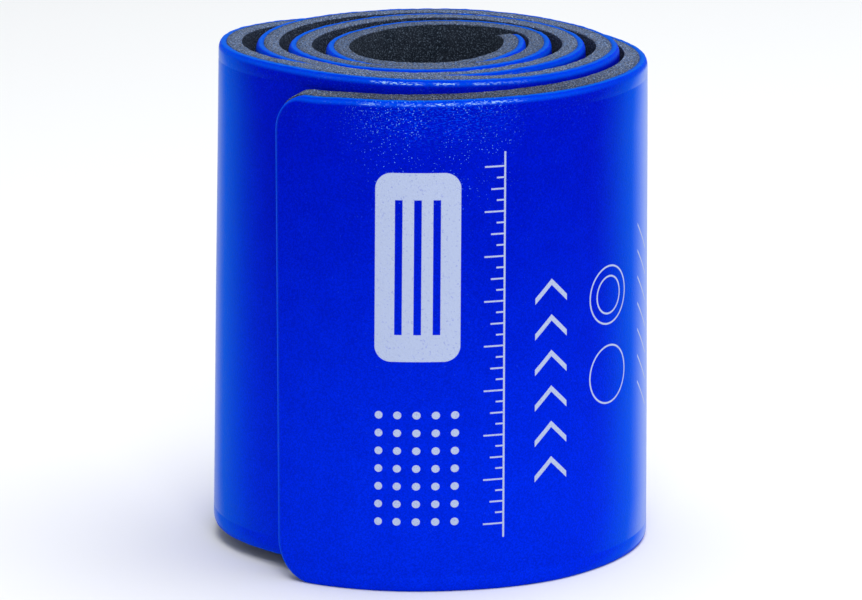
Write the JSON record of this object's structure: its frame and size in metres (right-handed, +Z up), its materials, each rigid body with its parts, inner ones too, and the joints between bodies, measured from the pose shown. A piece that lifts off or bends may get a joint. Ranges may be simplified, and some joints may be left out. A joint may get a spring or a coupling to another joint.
{
  "type": "aluminium foam splint",
  "caption": "Mouldable foam splint, a long padded strip with rounded ends, rolled into a loose spiral that stands on end.",
  "frame": {"origin": "centre of the roll's footprint, on the surface that it stands on", "axes": "+Z up along the roll's axis; -Y towards the viewer of the picture, with the free outer end at the front left; +X to the right"},
  "size_m": [0.098, 0.0986, 0.1137],
  "materials": {
    "shell_foam": "closed-cell foam with a soft sheen, deep blue",
    "lining_foam": "matte closed-cell foam, charcoal grey"
  },
  "bodies": {
    "root": {"shell_foam": "shell_foam", "lining_foam": "lining_foam"}
  },
  "joints": []
}
